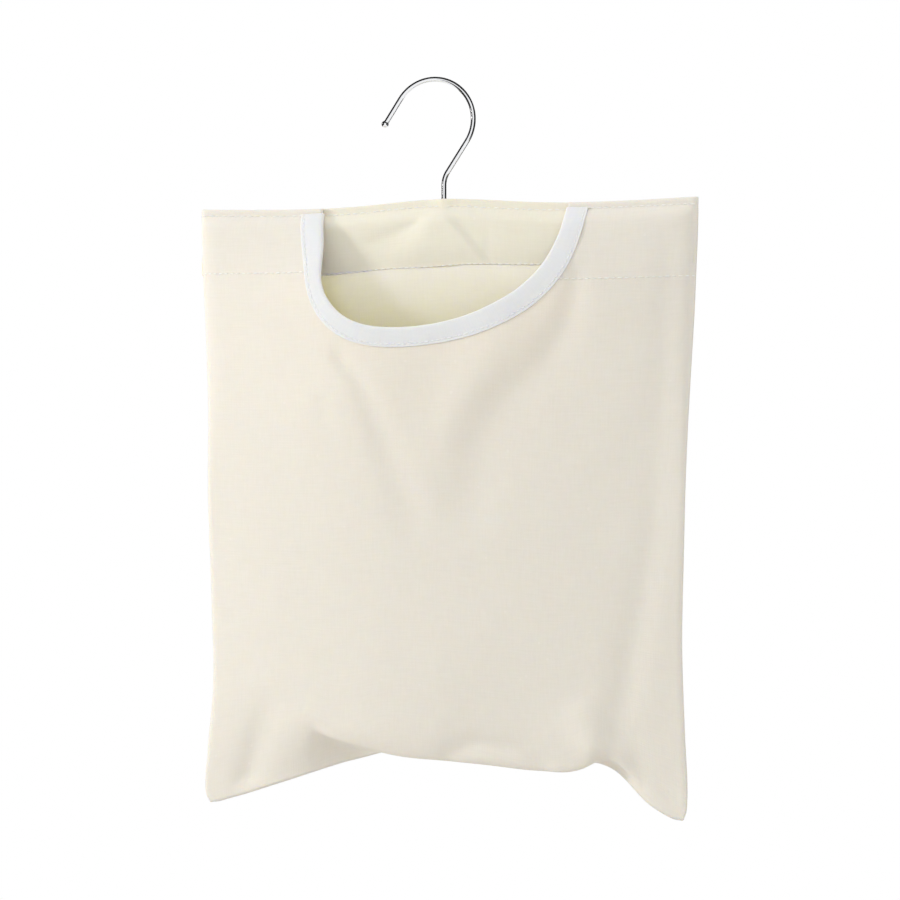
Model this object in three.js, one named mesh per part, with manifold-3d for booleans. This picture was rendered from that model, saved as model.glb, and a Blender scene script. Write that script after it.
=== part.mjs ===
// Peg bag: a canvas bag sewn round a wooden hanger bar, with a chromed hook that swivels in the bar.
// Millimetres, +Z up. The front faces -Y. The origin is where a rail bears inside the hook's arch,
// straight above the shank, so the bag hangs down the -Z axis.
import * as THREE from 'three';
import { mergeVertices } from 'three/addons/utils/BufferGeometryUtils.js';
import Module from 'manifold-3d';

const wasm = await Module();
wasm.setup();
const MERGE = 1e-4;

// Hook, bent from round wire in the plane of the bag
const WIRE = 3.2;
const ARCH_RADIUS = 25.6;       // centre line of the arch
const ARCH_HEIGHT = 49.9;       // arch centre above the bag's top edge
const ARCH_SHIFT = 6.7;         // arch centre to the left of the shank
const NECK_LEAN = 33.2;         // degrees, the neck from the vertical
const NECK_BEND = 15;           // centre line radius where the neck leaves the shank
const TIP_ANGLE = 33;           // degrees above level where the arch ends
const TIP_LENGTH = 18.5;        // straight tip, up to the middle of its ball
const BALL = 4.6;

// Swivel: the shank runs through the bar and is held below it
const SHANK_CLEARANCE = 0.3;
const WASHER_WIDTH = 9;
const WASHER_THICKNESS = 1;
const NUT_ACROSS_FLATS = 6.4;
const NUT_HEIGHT = 3.6;
const SHANK_END = 1;            // wire left below the nut
const SEAT_GAP = 0.3;           // between pieces that rest on each other

// Hanger bar, a slat with a raised hub
const BAR_INSET = 12;           // from each end of the bar to the side seam
const BAR_THICKNESS = 11;
const BAR_ROUND = 4;            // rounding of its long edges
const BAR_END_ROUND = 7;        // rounding of its ends, seen from the front
const HUB_HEIGHT = 19;          // bar height at the shank
const BAR_DROP = 5;             // top of the bar below the topstitch
const HUB_RISE = 5.5;           // hub above the arms
const HUB_REACH = 55;
const END_LIFT = 2.8;           // the arms rise again to their ends

// Cloth
const CLOTH = 0.7;
const LAYER_GAP = 0.3;
const TAPE = 0.6;               // binding tape thickness
const TAPE_GAP = 0.4;

// Bag, measured down from its top edge
const TOP_WIDTH = 320;
const SIDE_DRAW = 8;            // each side drawn in by the belly
const DRAW_WAVES = 0.4;         // waves in the side's curve from top to bottom
const DRAW_DELAY = 1.2;         // over 1, the sides draw in lower down
const EAR_DROP = 382;           // to the tips of the bottom corners
const BELLY_LIFT = 32;          // bottom seam in the middle, above the corners
const EAR_LEFT = 1.7;           // how fast the bottom seam rises from each corner
const EAR_RIGHT = 2.8;
const TOPSTITCH = 4.5;
const HEM = 42;                 // depth of the folded hem
const HEM_EDGE = 2;             // hem cloth below its stitch line
const CASING_CLOSE = 8;         // height in which the casing closes on the hem stitch
const SEAM_LEAN = 10;           // the side seams hang forward of the bar
const SEAM_ALLOWANCE = 9;

// Belly
const MOUTH_FRONT = 24;         // how far the front stands out round the mouth
const MOUTH_FOOT = 60;
const BELLY_FRONT = 15;         // and how far it stands out at the belly
const BELLY_LEVEL = 200;
const BELLY_BACK = 26;
const BELLY_RIDGE = -0.3;       // the front stands out most a little to the left
const BELLY_ROUND = 0.35;       // rounding of the front's ridge
const FRONT_FULL = 0.2;         // share of the drop where the front reaches its full depth
const FRONT_TURN = 0.88;        // share of the drop where the cloth starts to turn under
const BACK_START = 0.12;
const BACK_FULL = 0.6;
const BACK_TURN = 0.78;

// Mouth, scooped from the front
const MOUTH_WIDTH = 156;
const MOUTH_DEPTH = 82;
const MOUTH_LOW = -15;          // lowest point, to the left of the shank
const MOUTH_LEFT = 2.5;         // squareness of each side, where 2 is an ellipse
const MOUTH_RIGHT = 2;
const BINDING_WIDTH = 11;

// Facets
const MIDDLE_COLUMNS = 23;
const END_COLUMNS = 3;
const CASING_ROWS = 4;
const HEM_ROWS = 4;
const MOUTH_ROWS = 6;
const BELLY_ROWS = 8;
const TURN_ROWS = 5;
const MOUTH_STATIONS = 33;
const SEAM_STATIONS = 19;
const WIRE_STEPS = 52;
const WIRE_SIDES = 6;
const ROUND_SIDES = 24;
const BAR_STATIONS = 25;
const BEVEL_STEPS = 3;

const { clamp, degToRad } = THREE.MathUtils;
const HALF_PI = Math.PI / 2;
const halfTop = TOP_WIDTH / 2;
const casingHalf = BAR_THICKNESS / 2 + SEAT_GAP;
const barTop = TOPSTITCH + BAR_DROP;
const casingRise = BAR_DROP + BAR_ROUND;
const barEnd = halfTop - BAR_INSET;
const shankHole = WIRE / 2 + SHANK_CLEARANCE;
const hemDepth = HEM + HEM_EDGE;

const ease = (from, to, value) => {
  const k = clamp((value - from) / (to - from), 0, 1);
  return k * k * (3 - 2 * k);
};
const mix = (a, b, k) => a + (b - a) * k;
const steps = (count, from, to) => Array.from(
  { length: count }, (_, i) => mix(from, to, i / (count - 1)));

// Closed solids

// A geometry of triangles over points, turned so that its faces point out.
function closedBody(points, index) {
  const geometry = new THREE.BufferGeometry().setFromPoints(points);
  let volume = 0;
  for (let i = 0; i < index.length; i += 3) {
    const [a, b, c] = index.slice(i, i + 3).map((k) => points[k]);
    volume += a.dot(b.clone().cross(c));
  }
  const faces = volume < 0 ? index.toReversed() : index;
  geometry.setIndex(faces);
  geometry.computeVertexNormals();
  return geometry;
}

// A sheet with thickness: two faces over the same grid, joined round the rim.
function slab(columns, rows, near, far) {
  const points = [];
  const index = [];
  const count = columns * rows;
  const quad = (a, b, c, d) => index.push(a, b, c, a, c, d);
  for (const face of [near, far]) {
    for (let j = 0; j < rows; j += 1) {
      for (let i = 0; i < columns; i += 1) points.push(face(i, j));
    }
  }
  for (let j = 0; j + 1 < rows; j += 1) {
    for (let i = 0; i + 1 < columns; i += 1) {
      const a = j * columns + i;
      quad(a, a + 1, a + 1 + columns, a + columns);
      quad(count + a, count + a + columns, count + a + 1 + columns, count + a + 1);
    }
  }
  const rim = [];
  for (let i = 0; i < columns; i += 1) rim.push(i);
  for (let j = 1; j < rows; j += 1) rim.push(j * columns + columns - 1);
  for (let i = columns - 2; i >= 0; i -= 1) rim.push((rows - 1) * columns + i);
  for (let j = rows - 2; j > 0; j -= 1) rim.push(j * columns);
  rim.forEach((a, k) => {
    const b = rim[(k + 1) % rim.length];
    quad(b, a, count + a, count + b);
  });
  return closedBody(points, index);
}

// Joining and cutting

function toSolid(geometry) {
  const bare = geometry.clone();
  bare.deleteAttribute('normal');
  bare.deleteAttribute('uv');
  const merged = mergeVertices(bare, MERGE);
  return new wasm.Manifold(new wasm.Mesh({
    numProp: 3,
    vertProperties: new Float32Array(merged.attributes.position.array),
    triVerts: new Uint32Array(merged.index.array),
  }));
}

function toGeometry(solid) {
  const mesh = solid.getMesh();
  const geometry = new THREE.BufferGeometry();
  geometry.setAttribute('position', new THREE.BufferAttribute(mesh.vertProperties, 3));
  geometry.setIndex(new THREE.BufferAttribute(mesh.triVerts, 1));
  geometry.computeVertexNormals();
  return geometry;
}

const join = (a, b) => toGeometry(toSolid(a).add(toSolid(b)));
const cut = (body, ...tools) => toGeometry(
  tools.reduce((solid, tool) => solid.subtract(toSolid(tool)), toSolid(body)));

// An upright cylinder round the shank's axis.
function upright(radius, low, high) {
  const geometry = new THREE.CylinderGeometry(radius, radius, high - low, ROUND_SIDES);
  return geometry.rotateX(HALF_PI).translate(0, 0, (low + high) / 2);
}

// An outline in X and Z, extruded through the thickness of the bag.
function extrudeThrough(shape, from, to, bevel = 0) {
  const geometry = new THREE.ExtrudeGeometry(shape, {
    depth: to - from - 2 * bevel,
    bevelEnabled: bevel > 0,
    bevelThickness: bevel,
    bevelSize: bevel,
    bevelOffset: -bevel,
    bevelSegments: BEVEL_STEPS,
  });
  return geometry.rotateX(HALF_PI).translate(0, to - bevel, 0);
}

// The bag's surfaces. A place on the cloth is u, from -1 to 1 between the side seams, and s, the
// depth below the top edge.

function topEdge(x) {
  const hub = 1 - Math.exp(-((x / HUB_REACH) ** 2));
  return END_LIFT * (x / halfTop) ** 2 - HUB_RISE * hub;
}

function halfWidth(s) {
  const wave = DRAW_WAVES * (s / EAR_DROP) ** DRAW_DELAY;
  return halfTop - SIDE_DRAW * Math.sin(2 * Math.PI * wave);
}

function drop(u) {
  const lift = 1 - Math.abs(u) ** (u < 0 ? EAR_LEFT : EAR_RIGHT);
  return EAR_DROP - BELLY_LIFT * lift;
}

const seamPlane = (s) => -SEAM_LEAN * ease(HEM, EAR_DROP / 2, s);

// Half the room that the cloth leaves for the bar, drawn down over its rounded top.
function standOff(u, s) {
  const overBar = Math.sin(HALF_PI * clamp((s - TOPSTITCH) / casingRise, 0, 1));
  const fromSeam = halfWidth(s) * (1 - Math.abs(u));
  const pastEnd = Math.sin(HALF_PI * clamp(fromSeam / BAR_INSET, 0, 1));
  return casingHalf * overBar * pastEnd;
}

// The casing closes below the bar, where the hem stitch holds its two walls together.
const casing = (u, s) => standOff(u, s) * (1 - ease(HEM - CASING_CLOSE, HEM, s));

const across = (u) => 1 - u * u;
const turnUnder = (v, turn) => Math.sqrt(1 - clamp((v - turn) / (1 - turn), 0, 1) ** 2);
const share = (u, s) => clamp((s - TOPSTITCH) / (drop(u) - TOPSTITCH), 0, 1);

// Across the bag the front rises evenly from each side seam to a rounded ridge.
function roof(u) {
  const left = (1 + u) / (1 + BELLY_RIDGE);
  const right = (1 - u) / (1 - BELLY_RIDGE);
  const rounded = Math.hypot(left - right, BELLY_ROUND * across(u));
  return (left + right - rounded) / (2 - BELLY_ROUND);
}

function frontBulge(u, s) {
  const v = share(u, s);
  const forward = Math.sin(HALF_PI * clamp(v / FRONT_FULL, 0, 1));
  const standOut = mix(MOUTH_FRONT, BELLY_FRONT, ease(MOUTH_FOOT, BELLY_LEVEL, s));
  return standOut * roof(u) * forward * turnUnder(v, FRONT_TURN);
}

function backBulge(u, s) {
  const v = share(u, s);
  return BELLY_BACK * across(u) * ease(BACK_START, BACK_FULL, v) * turnUnder(v, BACK_TURN);
}

// The panels part by the seam allowance below the hem, and by the hems and the tape within it.
const belowHem = (s) => ease(HEM, 2 * HEM, s);
const seamHalf = CLOTH + LAYER_GAP;
const backFacingFront = LAYER_GAP / 2 + CLOTH;
const frontFacingBack = backFacingFront + 2 * TAPE_GAP + TAPE;
const frontPanelBack = frontFacingBack + CLOTH + LAYER_GAP;

function onCloth(u, s, y) {
  const x = u * halfWidth(s);
  return new THREE.Vector3(x, y, topEdge(x) - s);
}

// Each panel is given by its inner face.
function frontSkin(u, s) {
  const layers = mix(frontPanelBack, seamHalf, belowHem(s));
  const bar = standOff(u, s) * (1 - ease(HEM, EAR_DROP / 2, s));
  return onCloth(u, s, seamPlane(s) - layers - bar - frontBulge(u, s));
}

function backSkin(u, s) {
  const layers = mix(LAYER_GAP / 2, seamHalf, belowHem(s));
  return onCloth(u, s, seamPlane(s) + layers + casing(u, s) + backBulge(u, s));
}

// The way out of a panel: straight out at the hems, and square to the cloth on the belly.
function outward(skin, side, u, s) {
  const du = 0.001;
  const ds = 0.4;
  const alongU = skin(Math.min(u + du, 1), s).sub(skin(Math.max(u - du, -1), s));
  const alongS = skin(u, Math.min(s + ds, drop(u))).sub(skin(u, Math.max(s - ds, 0)));
  const square = alongU.cross(alongS).normalize().multiplyScalar(side);
  const straight = new THREE.Vector3(0, side, 0);
  return straight.lerp(square, belowHem(s)).normalize();
}

// Rows of the panels: close together over the bar's rounded top, beside the mouth and where the cloth
// turns under.
const casingRows = steps(CASING_ROWS + 1, TOPSTITCH, TOPSTITCH + casingRise);
const hemRows = steps(HEM_ROWS + 1, TOPSTITCH + casingRise, hemDepth).slice(1);
const bandRows = [0, ...casingRows, ...hemRows];
const turnRows = steps(TURN_ROWS + 1, 0, HALF_PI).slice(1).map(Math.sin);
const mouthRows = steps(MOUTH_ROWS + 1, hemDepth, MOUTH_DEPTH + BINDING_WIDTH).slice(1);
const upperRows = [...bandRows, ...mouthRows];
const panelRowCount = upperRows.length + BELLY_ROWS + TURN_ROWS;

function panelRows(u, turnShare) {
  const turn = mix(TOPSTITCH, drop(u), turnShare);
  const belly = steps(BELLY_ROWS + 1, upperRows.at(-1), turn).slice(1);
  return [...upperRows, ...belly, ...turnRows.map((k) => mix(turn, drop(u), k))];
}

// Columns of the panels: even between the ends of the bar, and closer past them.
const pastBar = barEnd / halfTop;
const endColumns = steps(END_COLUMNS + 1, pastBar, 1).slice(1);
const panelColumns = [
  ...endColumns.toReversed().map((u) => -u),
  ...steps(MIDDLE_COLUMNS, -pastBar, pastBar),
  ...endColumns,
];

function panel(skin, side, turnShare) {
  const grid = panelColumns.map((u) => panelRows(u, turnShare).map((s) => {
    const inner = skin(u, s);
    const outer = inner.clone().addScaledVector(outward(skin, side, u, s), CLOTH);
    return [inner, outer];
  }));
  const face = (k) => (i, j) => grid[i][j][k];
  return slab(panelColumns.length, panelRowCount, face(0), face(1));
}

// The mouth's cut edge, from its left end over the lowest point to its right end.
function mouthEdge(turn) {
  const left = turn < HALF_PI;
  const power = 2 / (left ? MOUTH_LEFT : MOUTH_RIGHT);
  const reach = MOUTH_WIDTH / 2 + (left ? MOUTH_LOW : -MOUTH_LOW);
  const out = reach * Math.abs(Math.cos(turn)) ** power;
  return { x: MOUTH_LOW + (left ? -out : out), s: MOUTH_DEPTH * Math.sin(turn) ** power };
}

function mouthCutter() {
  const shape = new THREE.Shape();
  const edge = steps(MOUTH_STATIONS, 0, Math.PI).map(mouthEdge);
  shape.moveTo(edge[0].x, MOUTH_DEPTH);
  edge.forEach(({ x, s }) => shape.lineTo(x, topEdge(x) - s));
  shape.lineTo(edge.at(-1).x, MOUTH_DEPTH);
  return extrudeThrough(shape, -TOP_WIDTH, TOP_WIDTH);
}

// Hook and swivel

class InPlane extends THREE.Curve {
  constructor(path) {
    super();
    this.path = path;
  }

  getPoint(t) {
    const { x, y } = this.path.getPointAt(t);
    return new THREE.Vector3(x, 0, y);
  }
}

const nutTop = -(barTop + HUB_HEIGHT + SEAT_GAP + WASHER_THICKNESS + SEAT_GAP);
const shankFoot = nutTop - NUT_HEIGHT - SHANK_END;

function makeHook() {
  const lean = degToRad(NECK_LEAN);
  const tip = Math.PI - degToRad(TIP_ANGLE);
  const neckFoot = {
    x: ARCH_RADIUS * Math.cos(lean) - ARCH_SHIFT,
    z: ARCH_HEIGHT - ARCH_RADIUS * Math.sin(lean),
  };
  const corner = neckFoot.z - neckFoot.x / Math.tan(lean);
  const bendStart = corner - NECK_BEND * Math.tan(lean / 2);
  const tipEnd = {
    x: ARCH_RADIUS * Math.cos(tip) - ARCH_SHIFT - TIP_LENGTH * Math.sin(tip),
    z: ARCH_HEIGHT + ARCH_RADIUS * Math.sin(tip) + TIP_LENGTH * Math.cos(tip),
  };
  const route = new THREE.Path();
  route.moveTo(0, shankFoot);
  route.lineTo(0, bendStart);
  route.absarc(NECK_BEND, bendStart, NECK_BEND, Math.PI, Math.PI - lean, true);
  route.lineTo(neckFoot.x, neckFoot.z);
  route.absarc(-ARCH_SHIFT, ARCH_HEIGHT, ARCH_RADIUS, -lean, tip, false);
  route.lineTo(tipEnd.x, tipEnd.z);
  const section = new THREE.Shape();
  section.absarc(0, 0, WIRE / 2, 0, 2 * Math.PI, false);
  const wire = new THREE.ExtrudeGeometry(section, {
    steps: WIRE_STEPS,
    curveSegments: WIRE_SIDES,
    extrudePath: new InPlane(route),
  });
  const ball = new THREE.SphereGeometry(BALL / 2, 2 * WIRE_SIDES, WIRE_SIDES);
  return join(wire, ball.translate(tipEnd.x, 0, tipEnd.z));
}

function makeWasher() {
  const high = nutTop + SEAT_GAP + WASHER_THICKNESS;
  const low = nutTop + SEAT_GAP;
  const ring = [[shankHole, low], [WASHER_WIDTH / 2, low], [WASHER_WIDTH / 2, high], [shankHole, high]];
  const profile = [...ring, ring[0]].map(([r, z]) => new THREE.Vector2(r, z));
  return new THREE.LatheGeometry(profile, ROUND_SIDES).rotateX(HALF_PI);
}

function makeNut() {
  const prism = new THREE.CylinderGeometry(1, 1, NUT_HEIGHT, 6);
  const corner = NUT_ACROSS_FLATS / 2 / Math.cos(Math.PI / 6);
  prism.scale(corner, 1, corner).rotateX(HALF_PI).translate(0, 0, nutTop - NUT_HEIGHT / 2);
  return cut(prism, upright(shankHole, nutTop - 2 * NUT_HEIGHT, nutTop + NUT_HEIGHT));
}

// Hanger bar: its top follows the bag's top edge, its ends and long edges are rounded.
function makeBar() {
  const foot = -(barTop + HUB_HEIGHT);
  const shape = new THREE.Shape();
  const top = steps(BAR_STATIONS, BAR_END_ROUND - barEnd, barEnd - BAR_END_ROUND);
  const height = (x) => topEdge(x) - barTop;
  shape.moveTo(BAR_END_ROUND - barEnd, foot);
  shape.lineTo(barEnd - BAR_END_ROUND, foot);
  shape.quadraticCurveTo(barEnd, foot, barEnd, foot + BAR_END_ROUND);
  shape.lineTo(barEnd, height(barEnd) - BAR_END_ROUND);
  shape.quadraticCurveTo(barEnd, height(barEnd), barEnd - BAR_END_ROUND, height(barEnd - BAR_END_ROUND));
  top.toReversed().slice(1).forEach((x) => shape.lineTo(x, height(x)));
  shape.quadraticCurveTo(-barEnd, height(barEnd), -barEnd, height(barEnd) - BAR_END_ROUND);
  shape.lineTo(-barEnd, foot + BAR_END_ROUND);
  shape.quadraticCurveTo(-barEnd, foot, BAR_END_ROUND - barEnd, foot);
  const slat = extrudeThrough(shape, -BAR_THICKNESS / 2, BAR_THICKNESS / 2, BAR_ROUND);
  return cut(slat, upright(shankHole, foot - HUB_HEIGHT, 0));
}

// Cloth pieces

// The hook comes out between the casing's two walls, through a gap in their top fold.
const hookGap = upright(shankHole + LAYER_GAP, -barTop, barTop);

const makeBackPanel = () => cut(panel(backSkin, 1, BACK_TURN), hookGap);
const makeFrontPanel = () => cut(panel(frontSkin, -1, FRONT_TURN), mouthCutter());

function makeBackFacing() {
  const wall = (lift) => (i, j) => {
    const u = panelColumns[i];
    const s = bandRows[j];
    return onCloth(u, s, -casing(u, s) - LAYER_GAP / 2 - lift);
  };
  return cut(slab(panelColumns.length, bandRows.length, wall(0), wall(CLOTH)), hookGap);
}

function makeFrontFacing(side) {
  const columns = panelColumns.filter((u) => side * u * halfTop > MOUTH_WIDTH / 4);
  const wall = (back) => (i, j) => {
    const point = frontSkin(columns[i], bandRows[j]);
    return point.setY(point.y + back);
  };
  const strip = slab(columns.length, bandRows.length, wall(LAYER_GAP), wall(LAYER_GAP + CLOTH));
  return cut(strip, mouthCutter());
}

// Binding tape folded over the mouth's edge. Where the hem doubles the cloth it is folded wider.
// Its two arms lie level over the casing, and square to the edge below it.
function makeBinding() {
  const turnAt = (depth, squareness) => Math.asin((depth / MOUTH_DEPTH) ** (squareness / 2));
  const hemStations = [LAYER_GAP, ...bandRows.slice(1)];
  const left = hemStations.map((s) => turnAt(s, MOUTH_LEFT));
  const right = hemStations.toReversed().map((s) => Math.PI - turnAt(s, MOUTH_RIGHT));
  const under = steps(MOUTH_STATIONS, left.at(-1), right[0]).slice(1, -1);
  const turns = [...left, ...under, ...right];
  const frontFace = CLOTH + TAPE_GAP;
  const backFace = (s) => TAPE_GAP + (CLOTH + LAYER_GAP) * (1 - ease(hemDepth, hemDepth + BINDING_WIDTH, s));
  const arm = [BINDING_WIDTH, BINDING_WIDTH / 2, 0];
  const fold = arm.length * 2 + 2;
  const face = (tape) => (i, j) => {
    const here = mouthEdge(turns[j]);
    const before = mouthEdge(turns[Math.max(j - 1, 0)]);
    const after = mouthEdge(turns[Math.min(j + 1, turns.length - 1)]);
    const square = ease(TOPSTITCH + casingRise, hemDepth, here.s);
    const out = new THREE.Vector2(before.s - after.s, square * (after.x - before.x)).normalize();
    const onFront = i < fold / 2;
    const k = onFront ? i : fold - 1 - i;
    const inwards = k < arm.length ? arm[k] : -TAPE_GAP - tape;
    const x = here.x + out.x * inwards;
    const s = here.s + out.y * inwards;
    const u = x / halfWidth(s);
    const point = frontSkin(u, s);
    const way = outward(frontSkin, -1, u, s);
    const rise = onFront ? frontFace + tape : -backFace(s) - tape;
    return point.addScaledVector(way, rise);
  };
  return slab(fold, turns.length, face(0), face(TAPE));
}

// Seam allowances, two edges of cloth turned inside the bag.
function between(u, s, aside) {
  const front = frontSkin(u, s);
  const back = backSkin(u, s);
  return front.setY((front.y + back.y) / 2 + aside);
}

function makeSideSeam(side) {
  const start = 2 * HEM + LAYER_GAP;
  const depths = steps(SEAM_STATIONS, start, EAR_DROP);
  const inset = [0, SEAM_ALLOWANCE / 2, SEAM_ALLOWANCE];
  const face = (aside) => (i, j) => {
    const u = side * (1 - inset[i] / halfWidth(depths[j]));
    return between(u, Math.min(depths[j], drop(u)), aside);
  };
  return slab(inset.length, SEAM_STATIONS, face(-CLOTH), face(CLOTH));
}

function makeBottomSeam() {
  const reach = 1 - (SEAM_ALLOWANCE + 2 * LAYER_GAP) / halfWidth(EAR_DROP);
  const places = steps(SEAM_STATIONS, -reach, reach);
  const rise = [0, SEAM_ALLOWANCE / 2, SEAM_ALLOWANCE];
  const face = (aside) => (i, j) => {
    const foot = drop(places[j]);
    const point = between(places[j], foot - rise[i], aside);
    return point.setY(seamPlane(foot) + aside);
  };
  return slab(rise.length, SEAM_STATIONS, face(-CLOTH), face(CLOTH));
}

// Assembly

const canvas = { color: 0xe8e1d2, roughness: 0.9, metalness: 0 };
const tape = { color: 0xf0eff0, roughness: 0.85, metalness: 0 };
const chrome = { color: 0xd8dadc, roughness: 0.08, metalness: 1 };
const zinc = { color: 0xa9acae, roughness: 0.35, metalness: 1 };
const beech = { color: 0xcfa777, roughness: 0.6, metalness: 0 };

function piece(name, geometry, finish) {
  const mesh = new THREE.Mesh(geometry, new THREE.MeshStandardMaterial(finish));
  mesh.name = name;
  return mesh;
}

const hook = new THREE.Group();
hook.add(
  piece('hook', makeHook(), chrome),
  piece('hook_washer', makeWasher(), zinc),
  piece('hook_nut', makeNut(), zinc),
);

const bag = new THREE.Group();
bag.add(
  piece('hanger_bar', makeBar(), beech),
  piece('back_panel', makeBackPanel(), canvas),
  piece('back_facing', makeBackFacing(), canvas),
  piece('front_panel', makeFrontPanel(), canvas),
  piece('front_facing_left', makeFrontFacing(-1), canvas),
  piece('front_facing_right', makeFrontFacing(1), canvas),
  piece('mouth_binding', makeBinding(), tape),
  piece('side_seam_left', makeSideSeam(-1), canvas),
  piece('side_seam_right', makeSideSeam(1), canvas),
  piece('bottom_seam', makeBottomSeam(), canvas),
);

// The rail bears on the inside of the arch, above the shank.
const archInside = ARCH_RADIUS - WIRE / 2;
const hang = ARCH_HEIGHT + Math.sqrt(archInside ** 2 - ARCH_SHIFT ** 2);
const pegBag = new THREE.Group();
pegBag.add(hook, bag);
pegBag.position.z = -hang;

export default pegBag;
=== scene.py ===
# Peg bag: a canvas bag sewn round a wooden bar, hung from a chromed wire hook that swivels in the bar.
# Shapes are worked out in millimetres from the bag's top edge at the hook, and made in metres in the
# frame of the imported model. A place on the cloth is u, from -1 to 1 between the side seams, and s, the
# depth below the top edge.
import math

import bpy
import numpy as np
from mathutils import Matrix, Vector
from mathutils.bvhtree import BVHTree


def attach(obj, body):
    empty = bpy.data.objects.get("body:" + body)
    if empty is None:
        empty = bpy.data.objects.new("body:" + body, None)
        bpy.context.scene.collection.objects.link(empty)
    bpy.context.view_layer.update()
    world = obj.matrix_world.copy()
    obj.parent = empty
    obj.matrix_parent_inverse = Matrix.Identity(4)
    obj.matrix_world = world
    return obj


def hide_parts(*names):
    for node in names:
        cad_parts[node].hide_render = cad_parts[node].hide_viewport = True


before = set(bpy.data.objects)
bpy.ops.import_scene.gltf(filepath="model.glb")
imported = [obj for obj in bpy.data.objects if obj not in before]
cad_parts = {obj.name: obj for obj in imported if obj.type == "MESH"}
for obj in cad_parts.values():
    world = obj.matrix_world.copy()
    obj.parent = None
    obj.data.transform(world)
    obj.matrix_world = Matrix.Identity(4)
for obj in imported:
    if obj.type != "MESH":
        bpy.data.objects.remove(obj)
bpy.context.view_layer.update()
scene = bpy.context.scene

MM = 0.001
HALF_PI = math.pi / 2

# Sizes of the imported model
HANG = 72.95             # from the rail's seat in the hook down to the bag's top edge
HALF_TOP = 160.0
WIRE = 3.2
ARCH_RADIUS = 25.6
ARCH_HEIGHT = 49.9
ARCH_SHIFT = 6.7
NECK_LEAN = 33.2
NECK_BEND = 15.0
TIP_ANGLE = 33.0
TIP_LENGTH = 18.5
BALL = 4.6
SHANK_FOOT = -34.7
HUB_RISE = 5.5
HUB_REACH = 55.0
END_LIFT = 2.8
TOPSTITCH = 4.5
CASING_HALF = 5.8
CASING_RISE = 9.0
CASING_CLOSE = 16.0
BAR_INSET = 12.0
HEM = 42.0
HEM_CLOSED = HEM - 3.0  # where the casing's two walls meet
HEM_EDGE = 2.0
BACK_HEM_EDGE = 0.9
EAR_DROP = 382.0
SEAM_LEAN = 10.0
SEAM_ALLOWANCE = 9.0
MOUTH_FRONT = 24.0       # how far the front stands out round the mouth, and below it
BELLY_FRONT = 15.0
BELLY_RIDGE = -0.3       # the belly stands out most a little to the left
BELLY_ROUND = 0.35
BELLY_BACK = 26.0
FRONT_FULL = 0.2
BACK_START = 0.12
BACK_FULL = 0.6
CLOTH = 0.7
TAPE = 0.6
NUT_ROOM = 5.2
NUT_REACH = 11.0
SHANK_HOLE = 1.9
SHANK_REACH = 6.0

# Layers and small forms of the cloth
HEM_LAYERS = 3.6         # from the seam plane to the front over its turned hem
WALL_LAYER = 0.5         # from the casing's middle to each of its walls
ONE_LAYER = 1.35         # from the seam plane to a panel below its hem
HEM_LEAN = 5.9           # the belly draws the closed hem this far forward of the bar's middle
TENT_RISE = 3.2          # the back facing's stand below the hook
BOTTOM_RISE = 32.0       # the bottom's middle hangs this far above the ears' tips
LEFT_CURVE = 1.7
RIGHT_CURVE = 2.8
BACK_TURN = 62.0         # height in which the back turns under to the bottom seam

# Cut of the cloth
CUT_LENGTH = 386.0
CELL = 4.0               # spacing of the cloth's grid
# The ears' tips are turned a little bluntly: how far up and inwards, and out to what distance from the tip
TIP_BLUNT = 2.6
TIP_INWARDS = 0.55 * TIP_BLUNT
TIP_REACH = 9.0
MOUTH_STIFF = 150.0
UPPER = 250.0            # down to here a place's depth is read straight down
LOWER_READ = 345.0       # depth at which a column's lower end reads its sideways place
SEAM_HALF = 155.0        # about half the width between the side seams
TOP_ROWS = [0.0, 0.5, 1.4, TOPSTITCH, 6.5]
NEAR_SHANK = np.array([-2.2, -1.0, 1.0, 2.2]) / HALF_TOP


def ease(low, high, value):
    k = np.clip((value - low) / (high - low), 0, 1)
    return k * k * (3 - 2 * k)


def mix(a, b, k):
    return a + (b - a) * k


def through(*points):
    """A smooth line through points, as a function."""
    xs, ys = np.array(points, float).T
    slopes = np.gradient(ys, xs)

    def line(x):
        x = np.clip(x, xs[0], xs[-1])
        k = np.clip(np.searchsorted(xs, x) - 1, 0, len(xs) - 2)
        h = xs[k + 1] - xs[k]
        t = (x - xs[k]) / h
        start = (1 + 2 * t) * (1 - t) ** 2 * ys[k] + t * (1 - t) ** 2 * h * slopes[k]
        end = t * t * (3 - 2 * t) * ys[k + 1] + t * t * (t - 1) * h * slopes[k + 1]
        return start + end

    return line


# Outline of the hanging bag

left_edge = through((0, 160), (26, 159.2), (77, 157), (128, 153.6), (186, 152.4), (256, 149.8),
                    (307, 149), (345, 152.6), (374, 153.6), (382, 152))
right_edge = through((0, 160), (14, 159.8), (57, 158.2), (105, 155.9), (166, 153.6), (215, 152.4),
                     (275, 151.3), (324, 152.9), (366, 154.6), (382, 153.8))
bottom_seam_depth = through((-154, 382), (-149, 379.5), (-125, 371), (-100, 362), (-83, 356), (-67, 351),
                            (-50, 347), (-38, 344), (0, 340), (50, 339), (85, 341), (100, 345), (106, 348),
                            (117, 357), (128, 367), (140, 374.5), (149, 379), (155, 382))
belly_line = through((-100, 320), (-78, 329), (-66, 334), (-50, 339), (-37, 343), (-19, 347), (2, 349),
                     (38, 350), (67, 350.5), (86, 349.5), (94, 346), (100, 342), (110, 342.5), (116, 348),
                     (123, 357), (135, 370))


def top_edge(x):
    return END_LIFT * (x / HALF_TOP) ** 2 - HUB_RISE * (1 - np.exp(-((x / HUB_REACH) ** 2)))


def across(u, s):
    """Sideways place of u on the cloth."""
    return np.where(u < 0, u * left_edge(s), u * right_edge(s))


def share_of_side(x, s):
    return np.where(x < 0, x / left_edge(s), x / right_edge(s))


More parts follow.
